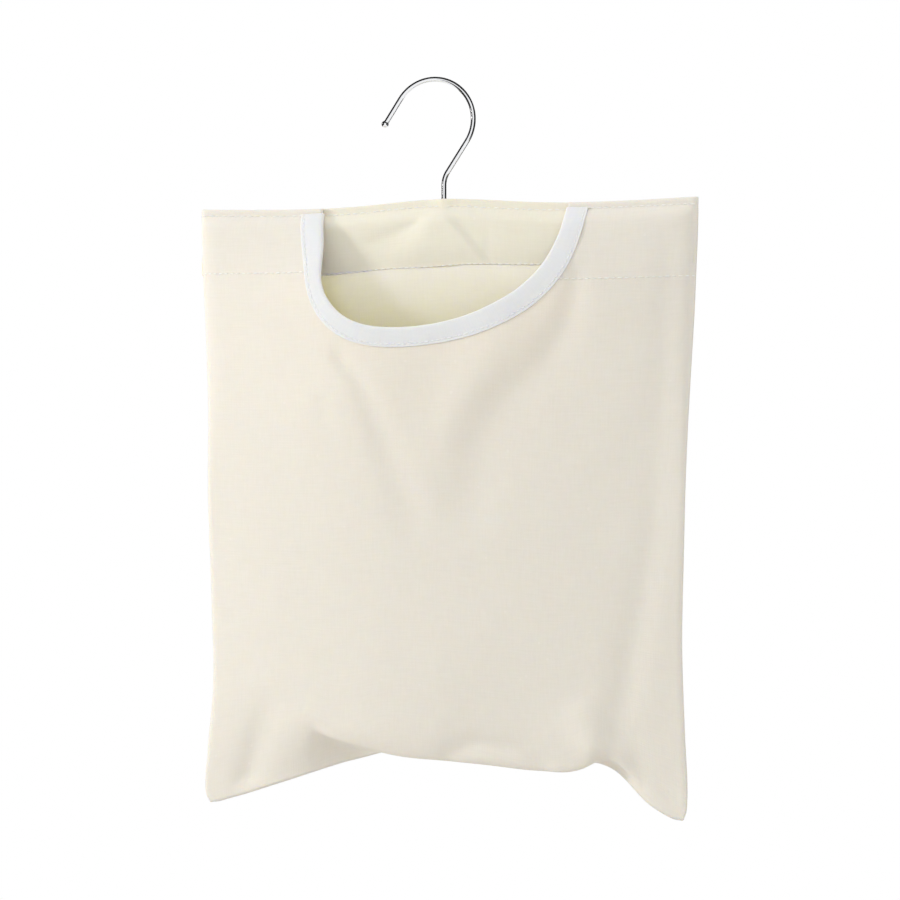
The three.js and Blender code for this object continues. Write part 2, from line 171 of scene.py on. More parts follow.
def drop(u):
    curve = np.where(u < 0, LEFT_CURVE, RIGHT_CURVE)
    return EAR_DROP - BOTTOM_RISE * (1 - np.abs(u) ** curve)


def seam_plane(s):
    return -SEAM_LEAN * ease(HEM, EAR_DROP / 2, s)


def stand_off(u, s):
    """Half the room that the cloth leaves for the bar."""
    over_bar = np.sin(HALF_PI * np.clip((s - TOPSTITCH) / CASING_RISE, 0, 1))
    past_end = np.sin(HALF_PI * np.clip(HALF_TOP * (1 - np.abs(u)) / BAR_INSET, 0, 1))
    return CASING_HALF * over_bar * np.sqrt(past_end)


def closing(s):
    """Down the casing its two walls close in, to where the hem stitch holds them together."""
    return ease(HEM - CASING_CLOSE, HEM_CLOSED, s)


def casing(u, s):
    return stand_off(u, s) * (1 - closing(s))


def hem_lean(s):
    return -HEM_LEAN * closing(s) * (1 - ease(HEM, 2.6 * HEM, s))


def fold_at_top(s):
    """The layers of a hem meet in a fold at the top edge."""
    return np.sqrt(1 - (1 - np.clip(s / 1.2, 0, 1)) ** 2)


def round_nut(x, s):
    """The casing's back wall stands out round the nut below the bar."""
    return np.exp(-((x / NUT_REACH) ** 4)) * ease(20, 26, s) * (1 - ease(35.5, HEM - 0.5, s))


def round_shank(x, s):
    """The casing's walls open round the hook's shank."""
    return (SHANK_HOLE + 0.1) * np.exp(-((x / SHANK_REACH) ** 2)) * (1 - ease(5, 16, s))


# Folds in the hanging cloth. Each is pressed in along a line of places (x, s).

def soft_noise(x, s, size, seed):
    """Smooth bumps about size across, between -1 and 1."""
    grid = np.random.default_rng(seed).uniform(-1, 1, (96, 96))
    gx, gs = np.asarray(x) / size + 40, np.asarray(s) / size + 4
    i, j = np.floor(gx).astype(int), np.floor(gs).astype(int)
    a, b = gx - i, gs - j
    a, b = a * a * (3 - 2 * a), b * b * (3 - 2 * b)
    i, j = i % 95, j % 95
    low = mix(grid[j, i], grid[j, i + 1], a)
    high = mix(grid[j + 1, i], grid[j + 1, i + 1], a)
    return mix(low, high, b)


def pressed(x, s, line, depth, width, lean=0.0):
    """How far a fold along line presses in the cloth at (x, s): depth and width are given at its two ends.
    With lean, one side of the fold stands up as the other goes down."""
    line = np.array(line, float)
    x, s = np.asarray(x, float), np.asarray(s, float)
    best = np.full(x.shape, 1e9)
    along = np.zeros(x.shape)
    aside = np.zeros(x.shape)
    lengths = np.hypot(*np.diff(line, axis=0).T)
    start = 0.0
    for a, b, length in zip(line[:-1], line[1:], lengths):
        way = (b - a) / length
        t = np.clip((x - a[0]) * way[0] + (s - a[1]) * way[1], 0, length)
        dx, ds = x - a[0] - way[0] * t, s - a[1] - way[1] * t
        away = np.hypot(dx, ds)
        near = away < best
        best = np.where(near, away, best)
        along = np.where(near, (start + t) / lengths.sum(), along)
        aside = np.where(near, (x - a[0]) * way[1] - (s - a[1]) * way[0], aside)
        start += length
    reach = mix(width[0], width[1], along)
    k = best / reach
    shape = np.exp(-k * k)
    leaning = lean * aside / reach * np.exp(-0.5 * k * k)
    return mix(depth[0], depth[1], along) * (shape + leaning)


FRONT_FOLDS = (
    # the valley below the mouth's left end
    dict(line=((-61, 96), (-50, 108), (-38, 132), (-25.5, 168), (-18, 190), (-16, 205)), depth=(2.4, 1.3),
         width=(4, 13), lean=0.25),
    # the valley below the mouth's right end
    dict(line=((87, 46), (81, 74), (66, 100), (46, 119), (31, 137), (25, 160), (22, 184), (20, 205)),
         depth=(2.6, 1.5), width=(6, 18), lean=0.3),
    # a broad hollow towards the right side
    dict(line=((147, 30), (141, 120), (135, 208), (121, 280), (113, 325)), depth=(2.2, 2.8), width=(9, 11)),
    # the ridge between the two valleys
    dict(line=((42, 86), (27, 112), (12, 145), (5, 180)), depth=(-3.6, -1.0), width=(18, 14)),
    # the dent in the left ear
    dict(line=((-112, 322), (-121, 340), (-128, 366)), depth=(1.5, 4.0), width=(10, 8), lean=0.15),
    # the dent near the right ear's tip
    dict(line=((140, 352), (147, 368)), depth=(1.5, 4.0), width=(9, 7)),
    # cloth pushed up above the right fold
    dict(line=((92, 318), (98, 332)), depth=(-3.0, -5.0), width=(12, 10)),
    # the lip on the belly's underside
    dict(line=((8, 346), (25, 337), (52, 338), (66, 347)), depth=(2.0, 2.5), width=(5, 5), lean=0.4),
)
BACK_FOLDS = (
    dict(line=((-70, 60), (-40, 130), (-20, 210)), depth=(2.0, 1.0), width=(10, 18), lean=0.3),
    dict(line=((75, 55), (52, 120), (35, 200)), depth=(2.4, 1.0), width=(9, 18), lean=-0.3),
    dict(line=((-110, 300), (-124, 350)), depth=(1.5, 3.5), width=(12, 9), lean=0.3),
)


# Uneven hang of each panel: the depth, size and seed of its bumps, and from where to where on the way down
# they set in
FRONT_BUMPS = ((0.9, 62, 3, 40, 110), (0.3, 21, 5, 10, 60))
BACK_BUMPS = ((1.1, 58, 17, 45, 120),)


def tent(x, s):
    """The facing stands out in a tent below the hook: to the left it falls away in a widening slope, and
    to the right a crease bounds it."""
    slope = (x + 9 + (s - 7) * 1.35) / np.maximum(s, 1)
    crease = (3 + (s - 9) * 0.87 - x) / 1.32
    return ease(0, 1, slope) * ease(-2.5, 2.5, crease) * ease(5, 15, s) * (1 - ease(20, 62, s))


def wrinkles(x, s, folds, bumps):
    """How far a panel is pressed in by its folds and its uneven hang."""
    total = sum(pressed(x, s, **fold) for fold in folds)
    for depth, size, seed, start, full in bumps:
        total = total + depth * soft_noise(x, s, size, seed) * ease(start, full, s)
    return total


def front_wrinkles(x, s):
    """The front also has puckers below its hem."""
    total = wrinkles(x, s, FRONT_FOLDS, FRONT_BUMPS)
    pucker = np.exp(-(((s - hem_line_front(x) - 3) / 6) ** 2))
    return total + 0.45 * soft_noise(x, s * 0.4, 9, 11) * pucker


def back_wrinkles(x, s):
    return wrinkles(x, s, BACK_FOLDS, BACK_BUMPS)


def hem_line_front(x):
    return mix(41.6, 48.2, ease(-60, 90, x))


hem_line_back = through((-160, 42), (-78, 42), (-41, 41), (-9, 42), (24, 40), (75, 38), (160, 40))


# Surfaces of the panels, each along the middle of the cloth

def roof(u):
    """Across the bag the front rises evenly from each side seam to a rounded ridge."""
    left = (1 + u) / (1 + BELLY_RIDGE)
    right = (1 - u) / (1 - BELLY_RIDGE)
    return (left + right - np.hypot(left - right, BELLY_ROUND * (1 - u * u))) / (2 - BELLY_ROUND)


def down_share(u, s):
    return np.clip((s - TOPSTITCH) / (drop(u) - TOPSTITCH), 0, 1)


def front_bulge(u, s):
    forward = np.sin(HALF_PI * np.clip(down_share(u, s) / FRONT_FULL, 0, 1))
    return mix(MOUTH_FRONT, BELLY_FRONT, ease(60, 200, s)) * roof(u) * forward


def front_y(u, s):
    layers = mix(HEM_LAYERS * fold_at_top(s), ONE_LAYER, ease(HEM, 2 * HEM, s))
    bar = stand_off(u, s) * (1 - ease(HEM, EAR_DROP / 2, s))
    return seam_plane(s) - layers - bar - front_bulge(u, s)


def back_bulge(u, s):
    return BELLY_BACK * (1 - u * u) * ease(BACK_START, BACK_FULL, down_share(u, s))


def back_y(u, s):
    x = across(u, s)
    layers = mix(WALL_LAYER * fold_at_top(s), ONE_LAYER, ease(HEM, 2 * HEM, s))
    layers = layers - 0.3 * ease(HEM - 12, HEM, s) - TENT_RISE * tent(x, s) * closing(s)
    wall = np.maximum(casing(u, s), round_shank(x, s))
    y = seam_plane(s) + hem_lean(s) * (1 - u ** 8) + layers + wall + back_bulge(u, s)
    return mix(y, np.maximum(y, NUT_ROOM), round_nut(x, s))


def on_bag(u, s, y):
    x = across(u, s)
    return np.stack([x, y, top_edge(x) - s], -1)


def reach_along(points):
    """How far each point of a line lies from its start."""
    steps = np.linalg.norm(np.diff(points, axis=0), axis=1)
    return np.concatenate([[0], np.cumsum(steps)])


def at_reach(points, wanted):
    """Points of a line at given distances along it."""
    reach = reach_along(points)
    return np.stack([np.interp(wanted, reach, column) for column in points.T], -1)


def evenly(points, count):
    """Count points spread evenly along a line of points."""
    return at_reach(points, np.linspace(0, reach_along(points)[-1], count))


def seam_y(x):
    """The bottom seam is drawn back where the belly folds over it."""
    return -11 + 12 * np.exp(-(((x + 58) / 26) ** 2)) + 11 * np.exp(-(((x - 110) / 15) ** 2))


# Across the belly, from the left fold to the right one: the height in which the front turns under, and how
# far back its lowest line lies
pouch_height = through((-90, 7), (-66, 9), (-40, 18), (0, 30), (50, 32), (80, 24), (98, 12), (130, 8))
pouch_depth = through((-90, 0.1), (-66, 0.18), (-40, 0.35), (0, 0.5), (50, 0.5), (80, 0.4), (98, 0.25),
                      (130, 0.2))


def lower_end(u):
    """Where a column meets the bottom seam, as (x, s, y)."""
    x = float(across(u, LOWER_READ))
    return x, float(bottom_seam_depth(x)), float(seam_y(x))


def turned_under(surface_y, u, turn, height, foot_y, straight, curved):
    """A column from UPPER straight down to the depth turn and then round to foot_y, as (y, s). Straight and
    curved are the numbers of its points."""
    s = np.linspace(UPPER, turn, straight)[:-1]
    phi = np.linspace(0, HALF_PI, curved)
    round_y = mix(surface_y(u, turn), foot_y, 1 - np.cos(phi))
    return np.concatenate([
        np.stack([surface_y(u, s), s], -1),
        np.stack([round_y, turn + height * np.sin(phi)], -1),
    ])


def front_lower(u, count):
    """One column of the front from UPPER down to the bottom seam, as (y, s). In the middle the belly hangs
    over the seam as a pouch, and at the ears the cloth runs flat to the seam."""
    x, seam, back = lower_end(u)
    flat_s = np.linspace(UPPER, seam, 160)
    beside_fold = ease(-135, -82, x) * (1 - ease(112, 148, x))
    flat_y = mix(front_y(u, flat_s), back, ease(mix(UPPER + 35, 320, beside_fold), seam + 3, flat_s))
    low = belly_line(x)
    height = pouch_height(x)
    turn = low - height
    foot_y = mix(front_y(u, turn), back, pouch_depth(x))
    t = np.linspace(0, 1, 40)[1:]
    under = np.stack([mix(foot_y, back, 1 - (1 - t) ** 2.2), mix(low, seam, t ** 1.8)], -1)
    pouch = np.concatenate([turned_under(front_y, u, turn, height, foot_y, 40, 60), under])
    hang = ease(-84, -71, x) * (1 - ease(112, 130, x))
    return mix(evenly(np.stack([flat_y, flat_s], -1), count), evenly(pouch, count), hang)


def back_lower(u, count):
    _, seam, front = lower_end(u)
    return evenly(turned_under(back_y, u, seam - BACK_TURN, BACK_TURN, front, 20, 80), count)


MOUTH_POINTS = np.array([
    (-78.6, 0), (-77.2, 8), (-75.2, 16), (-74, 26), (-73.8, 37), (-73.4, 46), (-71.4, 53.5), (-67.8, 60),
    (-63, 66), (-56.5, 71.6), (-44.5, 77.6), (-28, 81), (-14, 81.6), (1.5, 80), (18, 75.5), (37.5, 66),
    (54.5, 54), (66.4, 41), (73.8, 28), (78.6, 14), (80.2, 0)], float)
mouth_reach = reach_along(MOUTH_POINTS)
MOUTH_LENGTH = mouth_reach[-1]
mouth_x = through(*zip(mouth_reach, MOUTH_POINTS[:, 0]))
mouth_s = through(*zip(mouth_reach, MOUTH_POINTS[:, 1]))
# The tape shows wider where it runs up to the top edge.
tape_width = through((0, 13.6), (24, 13.4), (46, 9.6), (70, 10.6), (100, 11.4), (140, 11.6), (180, 12.6),
                     (215, 13.0), (MOUTH_LENGTH, 12.8))


def on_mouth(reach):
    """The place on the mouth's edge at a distance along it."""
    return np.stack([mouth_x(reach), mouth_s(reach)], -1)


MOUTH_OUTLINE = on_mouth(np.linspace(0, MOUTH_LENGTH, 400))
MOUTH_MIDDLE = len(MOUTH_OUTLINE) // 2


def in_mouth(x, s):
    """Whether places lie in the scoop that is cut out of the front."""
    ring = np.concatenate([[(MOUTH_OUTLINE[0, 0], -9)], MOUTH_OUTLINE, [(MOUTH_OUTLINE[-1, 0], -9)]])
    inside = np.zeros(np.shape(x), bool)
    for (ax, az), (bx, bz) in zip(ring, np.roll(ring, -1, axis=0)):
        if az == bz:
            continue
        crosses = (az > s) != (bz > s)
        inside ^= crosses & (x < (bx - ax) * (s - az) / (bz - az) + ax)
    return inside


# Meshes

def put(name, data):
    made = bpy.data.objects.new(name, data)
    scene.collection.objects.link(made)
    return made


def in_metres(points):
    """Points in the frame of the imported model."""
    return (np.asarray(points, float) + (0, 0, -HANG)) * MM


def in_millimetres(points):
    """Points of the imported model's frame, from the bag's top edge."""
    return np.asarray(points) / MM + (0, 0, HANG)


def read_all(items, title, width=1, kind=float):
    """One property of every item, as an array."""
    flat = np.empty(len(items) * width, kind)
    items.foreach_get(title, flat)
    return flat.reshape(-1, width) if width > 1 else flat


def new_mesh(name, points, faces, maps=()):
    """A mesh object from points in millimetres. Each map is a name and a UV place for every point."""
    mesh = bpy.data.meshes.new(name)
    mesh.from_pydata(in_metres(points).tolist(), [], [tuple(int(k) for k in face) for face in faces])
    corners = read_all(mesh.loops, "vertex_index", kind=int)
    for title, uv in maps:
        layer = mesh.uv_layers.new(name=title)
        layer.data.foreach_set("uv", (np.asarray(uv, float)[corners] * MM).ravel())
    mesh.polygons.foreach_set("use_smooth", [True] * len(mesh.polygons))
    mesh.update()
    return put(name, mesh)


def cells(index):
    """The four corners of every cell of a grid of point numbers."""
    return np.stack([index[:-1, :-1], index[1:, :-1], index[1:, 1:], index[:-1, 1:]], -1)


def settle_modifiers(made):
    """Turns a piece with its modifiers into a plain mesh."""
    depsgraph = bpy.context.evaluated_depsgraph_get()
    mesh = bpy.data.meshes.new_from_object(made.evaluated_get(depsgraph))
    made.modifiers.clear()
    if made.data.shape_keys:
        made.shape_key_clear()
    made.data = mesh
    return made


def subdivide(made):
    smooth = made.modifiers.new("Smooth", "SUBSURF")
    smooth.levels = 1
    smooth.render_levels = 1
    return settle_modifiers(made)


def thicken(made, thickness):
    wall = made.modifiers.new("Thickness", "SOLIDIFY")
    wall.thickness = thickness * MM
    wall.offset = 0
    wall.use_even_offset = False
    return wall


def points_of(mesh):
    return in_millimetres(read_all(mesh.vertices, "co", 3))


class Skin:
    """A finished panel, on which a point is found by its place on the cloth."""

    def __init__(self, mesh):
        self.points = points_of(mesh)
        self.normals = read_all(mesh.vertices, "normal", 3)
        self.places = np.zeros((len(mesh.vertices), 3))
        corners = read_all(mesh.loops, "vertex_index", kind=int)
        self.places[corners, :2] = read_all(mesh.uv_layers["place"].data, "uv", 2) / MM
        mesh.calc_loop_triangles()
        self.triangles = [tuple(t.vertices) for t in mesh.loop_triangles]
        self.tree = BVHTree.FromPolygons(self.places.tolist(), self.triangles)

    def at(self, u, s):
        """The point and the way out of the cloth at a place."""
        near, _, k, _ = self.tree.find_nearest(Vector((float(u) * HALF_TOP, float(s), 0)))
        corners = list(self.triangles[k])
        a, b, c = self.places[corners, :2]
        matrix = np.array([b - a, c - a]).T
        m, n = 0.0, 0.0
        if abs(np.linalg.det(matrix)) > 1e-9:
            m, n = np.linalg.solve(matrix, np.array(near[:2]) - a)
        weights = np.array([1 - m - n, m, n])
        way = weights @ self.normals[corners]
        return weights @ self.points[corners], way / np.linalg.norm(way)


# Materials

def hex_colour(text):
    """An sRGB hex colour as linear light."""
    parts = [int(text[k:k + 2], 16) / 255 for k in (1, 3, 5)]
    linear = [c / 12.92 if c <= 0.04045 else ((c + 0.055) / 1.055) ** 2.4 for c in parts]
    return (*linear, 1.0)


def feed(tree, node, inputs):
    """Sets inputs of a node. Each is given a value or the socket that feeds it."""
    for name, value in inputs.items():
        if isinstance(value, bpy.types.NodeSocket):
            tree.links.new(value, node.inputs[name])
        else:
            node.inputs[name].default_value = value


def add(tree, kind, inputs=None, **settings):
    """A node with its settings and inputs."""
    node = tree.nodes.new(kind)
    for name, value in settings.items():
        setattr(node, name, value)
    feed(tree, node, inputs or {})
    return node


def maths(tree, operation, *values):
    return add(tree, "ShaderNodeMath", dict(enumerate(values)), operation=operation).outputs["Value"]


def object_place(tree):
    return add(tree, "ShaderNodeTexCoord").outputs["Object"]


def stretched(tree, place, scale):
    return add(tree, "ShaderNodeMapping", {"Vector": place, "Scale": scale}).outputs["Vector"]


def noise(tree, place, scale, detail, roughness=0.5):
    return add(tree, "ShaderNodeTexNoise", {
        "Vector": place, "Scale": scale, "Detail": detail, "Roughness": roughness}).outputs["Fac"]


def spread(tree, value, low, high, start=0.0, end=1.0):
    """The values from start to end, spread from low to high."""
    return add(tree, "ShaderNodeMapRange", {
        "Value": value, "From Min": start, "From Max": end, "To Min": low, "To Max": high}).outputs["Result"]


def bump(tree, height, strength, distance):
    return add(tree, "ShaderNodeBump", {
        "Strength": strength, "Distance": distance, "Height": height}).outputs["Normal"]


def ramp(tree, value, *stops):
    """Colours at two or more values."""
    node = add(tree, "ShaderNodeValToRGB", {"Fac": value})
    points = node.color_ramp.elements
    for k, (place, colour) in enumerate(stops):
        point = points[k] if k < 2 else points.new(place)
        point.position = place
        point.color = hex_colour(colour)
    return node.outputs["Color"]


def new_material(name):
    made = bpy.data.materials.new(name)
    made.use_nodes = True
    tree = made.node_tree
    tree.nodes.clear()
    shader = add(tree, "ShaderNodeBsdfPrincipled")
    add(tree, "ShaderNodeOutputMaterial", {"Surface": shader.outputs["BSDF"]})
    return made, tree, shader


WAVE_BANDS = 20          # a wave texture of scale 1 turns through this angle in one unit
THREAD_TURN = 3.18       # the turn of the wave over one thread, which in a plain weave is half a period
STREAK = 1.3             # width of a thick thread's streak, in millimetres
NUB_SPACING = 11.0


def woven_cotton(name, pale, deep, pitch, slub, nub_share, relief, lets_through=(1.5, 1.15, 0.7)):
    """Plain weave on the cloth's own map, in metres. The eye sees a fine even grain, thicker threads that
    run as faint streaks along both ways of the weave, and a few pale nubs. pitch is the drawn spacing of
    the threads in millimetres, slub the length of a thick place, lets_through how far red, green and blue
    light goes into the cloth."""
    made, tree, shader = new_material(name)
    place = add(tree, "ShaderNodeUVMap", uv_map="cloth").outputs["UV"]
    waves = [add(tree, "ShaderNodeTexWave", {
        "Vector": place, "Scale": 1 / (pitch * MM * WAVE_BANDS) * THREAD_TURN, "Distortion": 1.6,
        "Detail": 2.0, "Detail Scale": 1.5}, bands_direction=way).outputs["Fac"] for way in "XY"]
    threads = maths(tree, "ADD", *waves)
    thin, long = 1 / (STREAK * MM), 1 / (slub * MM)
    streaks = [noise(tree, stretched(tree, place, scale), 1.0, 2.0, 0.6)
               for scale in ((thin, long, 1), (long, thin, 1))]
    slubs = maths(tree, "ADD", *streaks)
    spots = add(tree, "ShaderNodeTexVoronoi", {"Vector": place, "Scale": 1 / (NUB_SPACING * MM)}).outputs
    nub = spread(tree, spots["Distance"], 1.0, 0.0, start=0.05, end=0.11)
    nubs = maths(tree, "MULTIPLY", nub, maths(tree, "LESS_THAN", spots["Color"], nub_share))
    shade = maths(tree, "MULTIPLY_ADD", threads, 0.05, -0.05)
    shade = maths(tree, "MULTIPLY_ADD", slubs, 0.7, shade)
    shade = maths(tree, "ADD", shade, -0.2)
    shade = maths(tree, "MULTIPLY_ADD", nubs, 0.5, shade)
    height = maths(tree, "MULTIPLY_ADD", slubs, 0.9, threads)
    height = maths(tree, "MULTIPLY_ADD", nubs, 1.5, height)
    feed(tree, shader, {
        "Base Color": ramp(tree, shade, (0.1, deep), (0.9, pale)),
        "Normal": bump(tree, height, relief, 0.25 * MM),
        "Roughness": 0.92, "Specular IOR Level": 0.25,
        "Subsurface Weight": 0.6, "Subsurface Radius": lets_through, "Subsurface Scale": MM,
        "Sheen Weight": 0.08, "Sheen Roughness": 0.5})
    return made


# Undyed plain-weave cotton canvas: matt cream with a fine grain. The real threads are about 0.5 mm apart,
# too fine to show, so they are drawn 0.8 mm apart.
CANVAS_WEAVE = dict(pitch=0.8, slub=14, nub_share=0.4, relief=0.07)
canvas = woven_cotton("undyed_cotton_canvas", "#f3ebe1", "#ece4d8", **CANVAS_WEAVE)
# The same canvas on the inside of the bag, with painted warm light: its colour is made warmer than the
# outside's to stand in for the light that comes off the cloth in there.
canvas_painted_warm_inside = woven_cotton("undyed_cotton_canvas_inside", "#f9f0df", "#f3ead7", **CANVAS_WEAVE)
# The inner face of the single cloth, which glows warm with the light that comes through it from outside.
canvas_lit_through = woven_cotton("undyed_cotton_canvas_lit_through", "#f7f0e8", "#f1eae0",
                                  lets_through=(5.5, 4.6, 0.6), **CANVAS_WEAVE)
# White cotton tape with a close, smooth weave, drawn 0.9 mm apart for real threads of 0.3 mm.
tape = woven_cotton("white_cotton_tape", "#f3f2f0", "#edeceb", pitch=0.9, slub=9, nub_share=0.05, relief=0.1)


def spun_thread(name, deep, pale):
    """Cotton sewing thread: two plies twisted about each other, seen as slanting light and dark. The colour
    paints the shade between the plies, and a bump follows the same bands.
    """
    made, tree, shader = new_material(name)
    twist = add(tree, "ShaderNodeTexWave", {
        "Vector": object_place(tree), "Scale": 1 / (0.5 * MM * WAVE_BANDS), "Distortion": 1.0},
        bands_direction="DIAGONAL").outputs["Fac"]
    feed(tree, shader, {
        "Base Color": ramp(tree, twist, (0.0, deep), (1.0, pale)),
        "Normal": bump(tree, twist, 0.3, 0.1 * MM),
        "Roughness": 0.75,
        "Subsurface Weight": 0.5, "Subsurface Radius": (1.0, 0.9, 0.8), "Subsurface Scale": MM})
    return made


cream_thread = spun_thread("cream_cotton_thread", "#f5f1e8", "#fefbf4")
white_thread = spun_thread("white_cotton_thread", "#f7f7f6", "#ffffff")


def bright_chrome():
    """Chromium plate over drawn wire: a clear mirror with a few duller specks."""
    made, tree, shader = new_material("bright_chrome_plate")
    specks = noise(tree, object_place(tree), 1 / (1.5 * MM), 3.0)
    feed(tree, shader, {
        "Base Color": hex_colour("#f1f2f4"), "Metallic": 1.0,
        "Roughness": spread(tree, specks, 0.05, 0.12, start=0.35, end=0.8)})
    return made


def zinc_plate():
    """Zinc on turned steel: grey, softly mottled, with a satin shine."""
    made, tree, shader = new_material("zinc_plated_steel")
    mottle = noise(tree, object_place(tree), 1 / (1.2 * MM), 4.0)
    feed(tree, shader, {
        "Base Color": ramp(tree, mottle, (0.3, "#9b9ea1"), (0.7, "#b7babd")), "Metallic": 1.0,
        "Roughness": spread(tree, mottle, 0.28, 0.5)})
    return made


def sanded_beech():
    """Bare beech: pale brown, straight grain along the bar with short darker flecks."""
    made, tree, shader = new_material("sanded_beech")
    place = object_place(tree)
    grain = noise(tree, stretched(tree, place, (12, 420, 420)), 1.0, 4.0)
    flecks = noise(tree, stretched(tree, place, (260, 2600, 2600)), 1.0, 1.0)
    shade = maths(tree, "MULTIPLY_ADD", flecks, 0.35, grain)
    feed(tree, shader, {
        "Base Color": ramp(tree, shade, (0.45, "#b98d5e"), (0.9, "#dcb98c")),
        "Normal": bump(tree, shade, 0.25, 0.1 * MM), "Roughness": 0.6})
    return made


def finish_with(made, finishes):
    made.data.materials.clear()
    for finish in finishes:
        made.data.materials.append(finish)


zinc = zinc_plate()
for node, finish in (("hanger_bar", sanded_beech()), ("hook_washer", zinc), ("hook_nut", zinc)):
    finish_with(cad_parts[node], [finish])


def keep(made, finishes, body, slot, *nodes):
    """Gives a piece its finishes and its place in the part."""
    finish_with(made, finishes)
    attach(made, body)
    if nodes:
        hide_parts(*nodes)
    return made


# Hook: round wire swept along its path, swelling into the ball at its tip

def hook_path():
    lean = math.radians(NECK_LEAN)
    tip = math.pi - math.radians(TIP_ANGLE)
    foot_x = ARCH_RADIUS * math.cos(lean) - ARCH_SHIFT
    foot_z = ARCH_HEIGHT - ARCH_RADIUS * math.sin(lean)
    bend_start = foot_z - foot_x / math.tan(lean) - NECK_BEND * math.tan(lean / 2)
    shank = np.stack([np.zeros(12), np.linspace(SHANK_FOOT, bend_start, 12)], -1)
    turn = np.linspace(math.pi, math.pi - lean, 16)
    bend = np.stack([NECK_BEND + NECK_BEND * np.cos(turn), bend_start + NECK_BEND * np.sin(turn)], -1)
    turn = np.linspace(-lean, tip, 120)
    arch = np.stack([ARCH_RADIUS * np.cos(turn) - ARCH_SHIFT, ARCH_HEIGHT + ARCH_RADIUS * np.sin(turn)], -1)
    way = np.array([-math.sin(tip), math.cos(tip)])
    out = np.linspace(0, TIP_LENGTH + BALL / 2, 12)[1:, None]
    return np.concatenate([shank, bend[1:], arch, arch[-1] + out * way])


def make_hook():
    sides = 24
    path = evenly(hook_path(), 260)
    reach = reach_along(path)
    length = reach[-1]
    centre = length - BALL / 2
    near_tip = length - BALL / 2 * (1 - np.cos(np.linspace(0, math.pi * 0.85, 18)[::-1]))
    stations = np.concatenate([reach[reach < near_tip[0] - 0.3], near_tip])
    path = at_reach(path, stations)
    way = np.gradient(path, axis=0)
    way /= np.linalg.norm(way, axis=1)[:, None]
    ball = np.sqrt(np.clip((BALL / 2) ** 2 - (stations - centre) ** 2, 0, None))
    radius = np.where(stations < centre, np.maximum(ball, WIRE / 2), ball)[:, None]
    radius[0] = WIRE / 2 - 0.4
    turn = np.linspace(0, 2 * math.pi, sides, endpoint=False)
    out = radius * np.cos(turn)
    rings = np.stack([path[:, :1] - way[:, 1:] * out, radius * np.sin(turn),
                      path[:, 1:] + way[:, :1] * out], -1)
    ends = [(0, 0, path[0, 1]), (path[-1, 0], 0, path[-1, 1])]
    foot, tip = rings.size // 3, rings.size // 3 + 1
    here = np.arange(foot).reshape(-1, sides)
    after = np.roll(here, -1, axis=1)
    faces = [*np.stack([here[:-1], after[:-1], after[1:], here[1:]], -1).reshape(-1, 4)]
    faces += [(k, j, foot) for j, k in zip(here[0], after[0])]
    faces += [(j, k, tip) for j, k in zip(here[-1], after[-1])]
    made = new_mesh("chrome_hook", np.concatenate([rings.reshape(-1, 3), ends]), faces)
    return keep(made, [bright_chrome()], "hook", "chrome_wire", "hook")


make_hook()


# Bag: both panels are laid out round the belly, joined at the side and bottom seams, and settled as one cloth

def panel_columns():
    near_seam = 1 - np.array([0, 1.8, 4.0]) / SEAM_HALF
    even = np.linspace(-1 + 7.5 / SEAM_HALF, 1 - 7.5 / SEAM_HALF, 75)
    return np.unique(np.concatenate([-near_seam, near_seam, even, NEAR_SHANK]))


def panel_rows():
    upper = np.linspace(12, UPPER, int((UPPER - 12) / CELL) + 1)
    lower = np.linspace(UPPER, CUT_LENGTH, int((CUT_LENGTH - UPPER) / CELL) + 2)[1:]
    return np.concatenate([TOP_ROWS, [9.0], upper]), lower


columns = panel_columns()
upper_rows, lower_rows = panel_rows()
U, P = np.meshgrid(columns, np.concatenate([upper_rows, lower_rows]))
LOWER = P > UPPER


def lay_out(surface_y, lower_column, pressed_in, inwards):
    """Places of a panel's grid before it settles."""
    points = on_bag(U, np.minimum(P, UPPER), surface_y(U, np.minimum(P, UPPER)))
    for j, u in enumerate(columns):
        y, s = lower_column(u, len(lower_rows) + 1)[1:].T
        points[LOWER[:, j], j] = on_bag(np.full_like(s, u), s, y)
    for side in (-1, 1):
        tip = points[-1, 0 if side < 0 else -1].copy()
        away = np.hypot(points[..., 0] - tip[0], points[..., 2] - tip[2])
        near = 1 - ease(0, TIP_REACH, away)
        points[..., 0] -= side * TIP_INWARDS * near
        points[..., 2] += TIP_BLUNT * near
    x = points[..., 0]
    s = top_edge(x) - points[..., 2]
    above_seam = np.where(LOWER, 1 - ease(CUT_LENGTH - 14, CUT_LENGTH, P), 1)
    points[..., 1] += inwards * pressed_in(x, s) * free_share(U, s) * above_seam
    return points


def free_share(u, s):
    """The seams and the top edge hold the cloth against its wrinkles."""
    return (1 - np.abs(u) ** 10) * ease(2, 20, s)


front_points = lay_out(front_y, front_lower, front_wrinkles, 1)
back_points = lay_out(back_y, back_lower, back_wrinkles, -1)


def on_front(u, s):
    """A place on the front above UPPER, before it settles."""
    point = on_bag(u, s, front_y(u, s))
    point[..., 1] += front_wrinkles(point[..., 0], s) * free_share(u, s)
    return point


